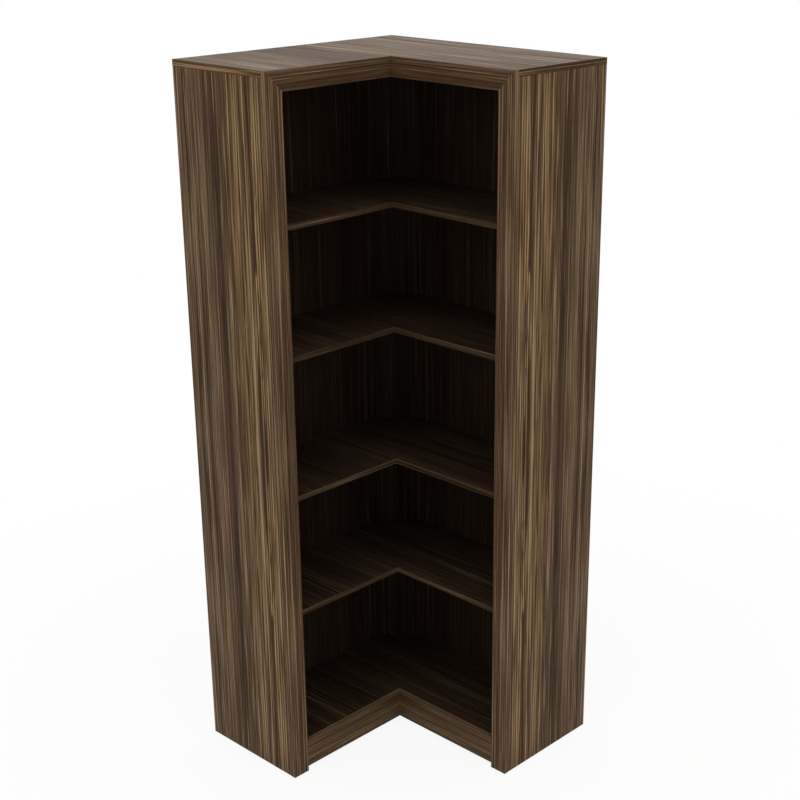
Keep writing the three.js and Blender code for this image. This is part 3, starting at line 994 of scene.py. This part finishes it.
def finished(name):
    """A material that is built the first time it is asked for."""
    build = {"Cast Zinc": metal, "Bright Steel": metal, "Beech": beech}.get(name, laminate)
    return bpy.data.materials.get(name) or build(name)


# Turned fittings

# The slope at a driver cross's sides, as a share of its width
CROSS_SLOPE = 0.18

# A drum's sides and the rings in its face. Its round edge's width, and how far in the middle of that
# edge lies
DRUM_SIDES = 96
DRUM_FACE_RINGS = 18
DRUM_ARRIS = 0.35 * MM
DRUM_BEND = 0.3 * DRUM_ARRIS

# A screw's sides and the rings in its face, its sizes, and its outline: the cone under the head, the
# shank, the thread and the tip
SCREW_SIDES = 72
SCREW_FACE_RINGS = 14
SCREW_HEAD_RADIUS = 5.0 * MM
SCREW_HEAD_LENGTH = 3.0 * MM
SCREW_SHANK_RADIUS = 3.5 * MM
SCREW_THREAD_RADIUS = 2.8 * MM
SCREW_TIP = 3.0 * MM
SCREW_LENGTH = 50.0 * MM
SCREW_PROFILE = (
    (SCREW_HEAD_RADIUS, 0), (SCREW_SHANK_RADIUS, -SCREW_HEAD_LENGTH), (SCREW_SHANK_RADIUS, -THICKNESS),
    (SCREW_THREAD_RADIUS, -THICKNESS), (SCREW_THREAD_RADIUS, SCREW_TIP - SCREW_LENGTH),
    (0, -SCREW_LENGTH),
)


def drum_profile(radius, height):
    """A cam housing's outline: a flat rim with a small round edge, the drum, and its far face."""
    return [
        (radius - DRUM_ARRIS, 0), (radius - DRUM_BEND, -DRUM_BEND), (radius, -DRUM_ARRIS),
        (radius, -height), (0, -height),
    ]


def turned_grid(rows, sides):
    """Rows of radius r and height turned about the third axis.

    A point is r cos a, r sin a and the height, as the angle a goes round.
    """
    rounds = rows[:, None, :1] * circle_points(sides)
    heights = np.broadcast_to(rows[:, None, 1:], (*rounds.shape[:2], 1))
    return np.concatenate([rounds, heights], 2)


def cross_pressed(points, width, length, depth):
    """Sinks a driver's cross into a face: two arms across each other, with short sloping sides."""
    reach = np.sort(np.abs(points[..., :2]), axis=-1)
    slope = width * CROSS_SLOPE
    inside = np.clip((np.array([width, length]) / 2 + slope - reach) / (2 * slope), 0, 1)
    points[..., 2] -= depth * inside.min(-1)


def turned_fitting(profile, face_rings, cross_length, axes, origin, sides):
    """A round body: its profile of radius and height turned about its axis, with a cross in its face.

    The face is a fan of rings from the axis to the profile's first radius, the body follows the
    profile, and its last point lies on the axis.
    """
    sizes = settings().fittings
    rim, top = profile[0]
    rings = np.linspace(0, rim, face_rings + 1)[:-1]
    rows = np.concatenate([np.stack([rings, np.full(face_rings, float(top))], 1), profile])
    grid = turned_grid(rows, sides)
    cross_pressed(grid[:face_rings + 1], sizes.cross_width, cross_length, sizes.cross_depth)
    surface = Surface()
    surface.add_rings(surface.add_points(origin + grid @ axes), smooth=True)
    if np.linalg.det(axes) < 0:
        surface.turn_over()
    return surface


# Where the boards are cut from the print: along the grain and across it, and for the rails along it.
# Each inner board is cut a step on from the one below
TOP_CUT = (0.11, 0.62)
INNER_CUT = np.array([0.2, 1.4])
INNER_CUT_STEP = np.array([0.9, 0.83])
RAIL_CUT = 11.7
PLINTH_CUT = 9.3
CORNER_CUT = (0.7, 5.2)
SHEET_CUT = (0.3, 6.1)

# How much of its arris an edge keeps where it meets another piece of the frame, and where the top
# board meets the top rails
SEAM_SHARE = 0.2
TOP_SEAM_SHARE = 0.35

# The rings of a nail's dome and its sides
NAIL_RINGS = 6
NAIL_SIDES = 20


def corner_rear(height):
    """The middle of the corner board's rear face: behind that of its front face, which runs between
    the box's two corners next to the walls."""
    middle = corners_of("corner_back_board").mean(0) - OUT * THICKNESS
    return np.array([*middle[:2], height])


def wing_slab(side, piece, order, outline=None, **options):
    """A board of a wing. Its own three axes lie along those of the wing that order names.

    Without an outline it is as wide and as high as its node.
    """
    low, high = wing_box(side, piece)
    first, second, third = order
    outline = outline or [
        (low[first], low[second]), (high[first], low[second]), (high[first], high[second]),
        (low[first], high[second]),
    ]
    origin = ROOM_CORNER + low[third] * WINGS[side][third]
    return slab(outline, high[third] - low[third], WINGS[side][order], origin, **options)


class ShelfUnitStep:
    """What the panel's steps share."""

    bl_options = {"REGISTER", "UNDO"}


class SHELFUNIT_OT_top_board(ShelfUnitStep, bpy.types.Operator):
    """Lay the L-shaped top board over both wings"""

    bl_idname = "shelfunit.top_board"
    bl_label = "Top board"

    def execute(self, context):
        length, front = WING_LENGTH, FRONT_OF_BOARDS
        outline = [(0, 0), (length, 0), (length, front), (front, front), (front, length), (0, length)]
        shares = [1, 1, TOP_SEAM_SHARE, TOP_SEAM_SHARE, 1, 1]
        origin = ROOM_CORNER + (0, 0, top_low.z)
        board = slab(outline, THICKNESS, WINGS["right"], origin, cut=TOP_CUT, shares=shares,
                     inside=(1, 0))
        show("top_board_laminate", board, "Top Laminate", "outer_laminate", "top_board")
        return {"FINISHED"}


class SHELFUNIT_OT_inner_boards(ShelfUnitStep, bpy.types.Operator):
    """Lay the bottom board and the shelves between the end panels"""

    bl_idname = "shelfunit.inner_boards"
    bl_label = "Bottom board and shelves"

    def execute(self, context):
        front = FRONT_OF_BOARDS
        corner_end = corners_of("corner_back_board")[1, 0] - ROOM_CORNER[0]
        cut_end = corner_end + settings().boards.seam
        for order, node in enumerate(INNER_BOARDS):
            low, high = corners_of(node) - ROOM_CORNER
            back, end = low[0], high[0]
            outline = [
                (cut_end, back), (end, back), (end, front), (front, front), (front, end), (back, end),
                (back, cut_end),
            ]
            short = node.replace("_board", "")
            pockets = [self.pocket(f"{side}_{short}_cam_housing") for side in WINGS]
            cut = INNER_CUT + order * INNER_CUT_STEP
            board = slab(outline, THICKNESS, WINGS["right"], ROOM_CORNER + low[2] * UP, cut=cut,
                         pockets=pockets, inside=(1, 1))
            show(f"{node}_laminate", board, "Shelf Laminate", "inner_laminate", node)
        return {"FINISHED"}

    def pocket(self, housing):
        """Place, radius and depth of a cam's pocket, in the right wing's frame."""
        low, high = corners_of(housing) - ROOM_CORNER
        gap = settings().boards.pocket_gap
        width, _, height = high - low
        return (low[0] + high[0]) / 2, -(low[1] + high[1]) / 2, width / 2 + gap, height + gap


class SHELFUNIT_OT_end_panels(ShelfUnitStep, bpy.types.Operator):
    """Stand the two end panels, with the print's bands mirrored"""

    bl_idname = "shelfunit.end_panels"
    bl_label = "End panels"

    def execute(self, context):
        gap = settings().boards.pocket_gap
        for side in WINGS:
            cam_low, cam_high = wing_box(side, "top_cam_housing")
            depth, width, _ = cam_high - cam_low
            pocket = (*((cam_low + cam_high) / 2)[1:], width / 2 + gap, depth + gap)
            panel = wing_slab(side, "end_panel", [1, 2, 0], grain=1, pockets=[pocket], inside=(1, 0))
            name = f"{side}_end_panel"
            show(f"{name}_laminate", panel, "Panel Laminate", "outer_laminate", name)
        return {"FINISHED"}


class SHELFUNIT_OT_face_frame(ShelfUnitStep, bpy.types.Operator):
    """Fit the stiles, the mitred top rails and the plinth rails in front of the boards"""

    bl_idname = "shelfunit.face_frame"
    bl_label = "Face frame"

    def execute(self, context):
        corner = FRONT_OF_BOARDS
        for side in WINGS:
            rail_low, rail_high = wing_box(side, "top_rail")
            low, high = wing_box(side, "stile")
            width = high[0] - low[0]
            self.fit(side, "stile", "Stile Laminate", [
                (low[2], low[0]), (rail_low[2], low[0]), (high[2], high[0]), (low[2], high[0]),
            ], seams=[1], grain=0, cut=(0.0, -low[0]))
            self.fit(side, "top_rail", "Rail Laminate", [
                (rail_low[2], corner), (rail_high[2], corner), (rail_high[2], rail_high[0]),
                (rail_low[2], rail_high[0] - width),
            ], seams=[0, 2], grain=1, cut=(RAIL_CUT, -rail_low[2]))
            low, high = wing_box(side, "plinth_rail")
            self.fit(side, "plinth_rail", "Plinth Laminate", [
                (low[2], corner), (high[2], corner), (high[2], high[0]), (low[2], high[0]),
            ], seams=[0, 1, 2], grain=1, cut=(PLINTH_CUT, -low[2]))
        return {"FINISHED"}

    def fit(self, side, piece, material, outline, seams, grain, cut):
        """Makes one piece of the frame from its outline of height and place along the wing.

        Its front face is its upper one. The edges in seams meet another piece of the frame. The
        first one of a rail is the mitre at the inner corner, which leans along the wing.
        """
        shares = np.ones(len(outline))
        shares[seams] = SEAM_SHARE
        lean = np.zeros((len(outline), 2))
        if seams[0] == 0:
            lean[:2, 1] = 1
        board = wing_slab(side, piece, [2, 0, 1], outline, grain=grain, cut=cut, lean=lean,
                          shares=shares, inside=(1, 0))
        name = f"{side}_{piece}"
        show(f"{name}_laminate", board, material, "outer_laminate", name)


class SHELFUNIT_OT_corner_board(ShelfUnitStep, bpy.types.Operator):
    """Stand the diagonal board in the rear corner, with countersinks for its screws"""

    bl_idname = "shelfunit.corner_board"
    bl_label = "Corner board"

    def execute(self, context):
        low, high = corners_of("corner_back_board")
        half = (high[0] - low[0]) / math.sqrt(2) - THICKNESS
        outline = [(0, -half), (high[2], -half), (high[2], half), (0, half)]
        lean = [(0, -1), (0, -1), (0, 1), (0, 1)]
        axes = np.array([UP, np.cross(OUT, UP), OUT])
        pockets = [self.pocket(node) for node in INNER_BOARDS]
        board = slab(outline, THICKNESS, axes, corner_rear(0.0), cut=CORNER_CUT, lean=lean,
                     pockets=pockets)
        show("corner_back_board_laminate", board, "Corner Laminate", "inner_laminate",
             "corner_back_board")
        return {"FINISHED"}

    def pocket(self, node):
        """Height, place, radius and depth of a screw's countersink."""
        height = corners_of(node)[:, 2].mean()
        return height, 0.0, SCREW_HEAD_RADIUS + settings().boards.pocket_gap, SCREW_HEAD_LENGTH


class SHELFUNIT_OT_back_sheets(ShelfUnitStep, bpy.types.Operator):
    """Fix the thin back sheets, printed inside and bare outside, with their nails"""

    bl_idname = "shelfunit.back_sheets"
    bl_label = "Back sheets"

    def execute(self, context):
        arris = settings().boards.sheet_arris
        for side in WINGS:
            sheet = wing_slab(side, "back_sheet", [2, 0, 1], cut=SHEET_CUT, bare=(1, 0), arris=arris)
            name = f"{side}_back_sheet"
            show(f"{name}_print", sheet, "Sheet Laminate", "back_sheet", name)
            show(f"{side}_sheet_nails", self.nails(side), "Bright Steel", "steel", turned=True)
        return {"FINISHED"}

    def nails(self, side):
        """Domed nail heads on the sheet's rear: a quarter ellipse turned round, at each place of a row
        along each board."""
        sizes = settings().fittings
        low = wing_box(side, "back_sheet")[0]
        heights = [corners_of(node)[:, 2].mean() for node in INNER_BOARDS]
        heights.append(top_low.z - sizes.nail_margin)
        ends = low[0] + sizes.nail_margin, WING_LENGTH - THICKNESS - sizes.nail_margin
        number = int((ends[1] - ends[0]) / sizes.nail_spacing) + 1
        along, up = (grid.ravel() for grid in np.meshgrid(np.linspace(*ends, number), heights))
        seats = np.stack([along, np.full(len(along), low[1]), up], 1)
        turn = np.linspace(0, math.pi / 2, NAIL_RINGS)
        rows = np.stack([sizes.nail_radius * np.sin(turn), -sizes.nail_height * np.cos(turn)], 1)
        dome = turned_grid(rows, NAIL_SIDES)[..., [0, 2, 1]]
        surface = Surface()
        numbers = surface.add_points(ROOM_CORNER + (seats[:, None, None] + dome) @ WINGS[side])
        surface.add_rings(numbers, smooth=True)
        surface.add_faces(numbers[:, -1])
        return surface


class SHELFUNIT_OT_cam_housings(ShelfUnitStep, bpy.types.Operator):
    """Set the slotted cam housings in their pockets"""

    bl_idname = "shelfunit.cam_housings"
    bl_label = "Cam housings"

    def execute(self, context):
        length = settings().fittings.cross_length
        for side, axes in WINGS.items():
            for node in (*INNER_BOARDS, "top"):
                name = f"{side}_{node.replace('_board', '')}_cam_housing"
                low, high = corners_of(name)
                width, _, tall = high - low
                opening, across, radius = -UP, axes[0], width / 2
                if node == "top":
                    opening, across, radius = -axes[0], UP, tall / 2
                height = abs((high - low) @ opening)
                seat = (low + high) / 2 + opening * height / 2
                drum_axes = np.array([across, np.cross(opening, across), opening])
                profile = drum_profile(radius, height)
                drum = turned_fitting(profile, DRUM_FACE_RINGS, length, drum_axes, seat, DRUM_SIDES)
                show(f"{name}_drum", drum, "Cast Zinc", "zinc", name, turned=True)
        return {"FINISHED"}


class SHELFUNIT_OT_corner_screws(ShelfUnitStep, bpy.types.Operator):
    """Drive the countersunk screws through the corner board"""

    bl_idname = "shelfunit.corner_screws"
    bl_label = "Corner screws"

    def execute(self, context):
        length = settings().fittings.screw_cross_length
        across = np.cross(UP, -OUT)
        axes = np.array([across, np.cross(-OUT, across), -OUT])
        for node in INNER_BOARDS:
            name = f"{node.replace('_board', '')}_corner_screw"
            seat = corner_rear(corners_of(node)[:, 2].mean())
            screw = turned_fitting(SCREW_PROFILE, SCREW_FACE_RINGS, length, axes, seat, SCREW_SIDES)
            show(f"{name}_body", screw, "Bright Steel", "steel", name, turned=True)
        return {"FINISHED"}


class SHELFUNIT_OT_hidden_fittings(ShelfUnitStep, bpy.types.Operator):
    """Give the bolts, dowels and tongues their metal and wood"""

    bl_idname = "shelfunit.hidden_fittings"
    bl_label = "Bolts, dowels and tongues"

    def execute(self, context):
        for name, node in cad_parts.items():
            if name.endswith("_cam_bolt"):
                self.dress(node, finished("Bright Steel"))
            elif name.endswith(("_dowel", "_tongue")):
                self.dress(node, finished("Beech"))
        return {"FINISHED"}

    def dress(self, node, material):
        for slot in node.material_slots:
            slot.material = material


# Name, place, diameter and share of the lamp power
LAMPS = (
    ("Left lamp", (0.4, -4.2, 3.6), 2.4, 1.0),
    ("Right lamp", (4.2, -0.4, 3.6), 2.4, 1.0),
    ("Top lamp", (0.6, -0.6, 5.2), 2.8, 1.2),
)
DAYLIGHT_COLOUR = (1.0, 0.99, 0.97, 1)

# The floor's paint, fine grit and roughness, and its rings. Then how far from the middle its shadow
# begins to fade and ends
FLOOR_COLOUR = (0.9, 0.89, 0.87, 1)
FLOOR_GRIT = (0.87, 0.86, 0.84, 1)
GRIT_SCALE = 90.0
FLOOR_ROUGHNESS = 0.9
FLOOR_INNER = 0.5
FLOOR_OUTER = 60.0
FLOOR_RINGS = 14
FLOOR_SIDES = 64
SHADOW_REACH = (0.8, 2.2)


def stand(name, data, place, aim):
    """Stands a camera or a lamp at its place, pointed along its aim."""
    made = bpy.data.objects.new(name, data)
    made.location = place
    made.rotation_mode = "QUATERNION"
    made.rotation_quaternion = aim.to_track_quat("-Z", "Y")
    bpy.context.scene.collection.objects.link(made)
    return made


def glowing(tree, kind, colour, strength):
    """A shader that gives off an even colour."""
    return Wire(add_node(tree, kind, {"Color": colour, "Strength": strength}).outputs[0])


def seen(tree):
    """1 for a ray from the camera, or one that metal mirrors or glass lets through."""
    path = add_node(tree, "ShaderNodeLightPath").outputs
    mirrored = calc("MAXIMUM", Wire(path["Is Glossy Ray"]), Wire(path["Is Transmission Ray"]))
    return calc("MAXIMUM", Wire(path["Is Camera Ray"]), mirrored)


class SHELFUNIT_OT_stage(ShelfUnitStep, bpy.types.Operator):
    """Set up the camera, the soft lamps, the pale floor and the white surroundings"""

    bl_idname = "shelfunit.stage"
    bl_label = "Stage"

    def execute(self, context):
        stage = settings().stage
        scene = context.scene
        scene.view_settings.view_transform = "Standard"
        self.add_camera(scene, stage)
        self.add_lamps(stage)
        self.light_world(scene, stage)
        self.lay_floor(scene, stage)
        return {"FINISHED"}

    def add_camera(self, scene, stage):
        data = bpy.data.cameras.new("Camera")
        data.lens = stage.lens
        data.shift_x, data.shift_y = stage.shift
        back = Vector((
            math.sin(stage.azimuth) * math.cos(stage.elevation),
            -math.cos(stage.azimuth) * math.cos(stage.elevation),
            math.sin(stage.elevation),
        ))
        scene.camera = stand("Camera", data, stage.camera_place, -back)

    def add_lamps(self, stage):
        """Two soft lamps on either side of the camera and one above, all aimed at the unit."""
        target = Vector((0, 0, top_high.z / 2))
        for name, place, size, strength in LAMPS:
            data = bpy.data.lights.new(name, "AREA")
            data.shape = "DISK"
            data.size = size
            data.energy = stage.lamp_power * strength
            stand(name, data, place, target - Vector(place))

    def light_world(self, scene, stage):
        """Even daylight, and the plain backdrop for whatever looks at it or mirrors it."""
        world = bpy.data.worlds.new("Surroundings")
        scene.world = world
        world.use_nodes = True
        tree = world.node_tree
        tree.nodes.clear()
        light = glowing(tree, "ShaderNodeBackground", DAYLIGHT_COLOUR, stage.daylight)
        backdrop = glowing(tree, "ShaderNodeBackground", (*stage.backdrop, 1), 1.0)
        both = wired("ShaderNodeMixShader", {0: seen(tree), 1: light, 2: backdrop})
        add_node(tree, "ShaderNodeOutputWorld", {"Surface": both})

    def lay_floor(self, scene, stage):
        """A round floor: rings about the unit, each wider than the last by the same ratio."""
        radii = np.geomspace(FLOOR_INNER, FLOOR_OUTER, FLOOR_RINGS)
        rows = np.stack([radii, np.zeros(FLOOR_RINGS)], 1)
        surface = Surface()
        numbers = surface.add_points(turned_grid(rows, FLOOR_SIDES))
        surface.add_rings(numbers)
        surface.add_faces(numbers[:1])
        mesh = surface.mesh("Floor")
        mesh.materials.append(self.floor_material(stage))
        floor = bpy.data.objects.new("Floor", mesh)
        scene.collection.objects.link(floor)

    def floor_material(self, stage):
        """Matt and pale, with most of its look given off evenly so that it ends in the backdrop."""
        material, tree, shader = new_material("Pale Floor")
        place = object_place(tree)
        grit = spread(noise(place, GRIT_SCALE, detail=3.0), *SOFT_SPAN)
        feed(shader, {
            "Base Color": mixed(grit, FLOOR_COLOUR, FLOOR_GRIT),
            "Roughness": FLOOR_ROUGHNESS,
            "Specular IOR Level": 0.0,
        })
        distance = wired("ShaderNodeVectorMath", {0: place}, "Value", operation="LENGTH")
        even = spread(distance, *SHADOW_REACH, 1.0 - stage.shadow, 1.0)
        glow = glowing(tree, "ShaderNodeEmission", (*stage.backdrop, 1), 1.0)
        lit = Wire(shader.outputs[0])
        look = wired("ShaderNodeMixShader", {0: seen(tree) * even, 1: lit, 2: glow})
        feed(tree.nodes["Material Output"], {"Surface": look})
        return material


class SHELFUNIT_PT_panel(bpy.types.Panel):
    """The shelf unit's steps and settings"""

    bl_idname = "SHELFUNIT_PT_panel"
    bl_label = "Shelf Unit"
    bl_space_type = "VIEW_3D"
    bl_region_type = "UI"
    bl_category = "Shelf Unit"

    def draw(self, context):
        layout = self.layout
        for step in STEPS:
            layout.operator(step.bl_idname)
        for group in context.scene.shelf_unit.bl_rna.properties:
            if group.type != "POINTER" or group.identifier == "rna_type":
                continue
            box = layout.box()
            box.label(text=group.name)
            values = getattr(context.scene.shelf_unit, group.identifier)
            for value in values.bl_rna.properties:
                if value.identifier not in {"rna_type", "name"}:
                    box.prop(values, value.identifier)


GROUPS = (ShelfUnitBoards, ShelfUnitLaminate, ShelfUnitFittings, ShelfUnitStage, ShelfUnit)
STEPS = (
    SHELFUNIT_OT_stage,
    SHELFUNIT_OT_top_board,
    SHELFUNIT_OT_inner_boards,
    SHELFUNIT_OT_end_panels,
    SHELFUNIT_OT_face_frame,
    SHELFUNIT_OT_corner_board,
    SHELFUNIT_OT_back_sheets,
    SHELFUNIT_OT_cam_housings,
    SHELFUNIT_OT_corner_screws,
    SHELFUNIT_OT_hidden_fittings,
)
CLASSES = (*GROUPS, *STEPS, SHELFUNIT_PT_panel)


def register():
    for kind in CLASSES:
        bpy.utils.register_class(kind)
    bpy.types.Scene.shelf_unit = PointerProperty(type=ShelfUnit)


def unregister():
    del bpy.types.Scene.shelf_unit
    for kind in reversed(CLASSES):
        bpy.utils.unregister_class(kind)


def main():
    register()
    bpy.ops.shelfunit.stage()
    bpy.ops.shelfunit.top_board()
    bpy.ops.shelfunit.inner_boards()
    bpy.ops.shelfunit.end_panels()
    bpy.ops.shelfunit.face_frame()
    bpy.ops.shelfunit.corner_board()
    bpy.ops.shelfunit.back_sheets()
    bpy.ops.shelfunit.cam_housings()
    bpy.ops.shelfunit.corner_screws()
    bpy.ops.shelfunit.hidden_fittings()


if __name__ == "__main__":
    main()
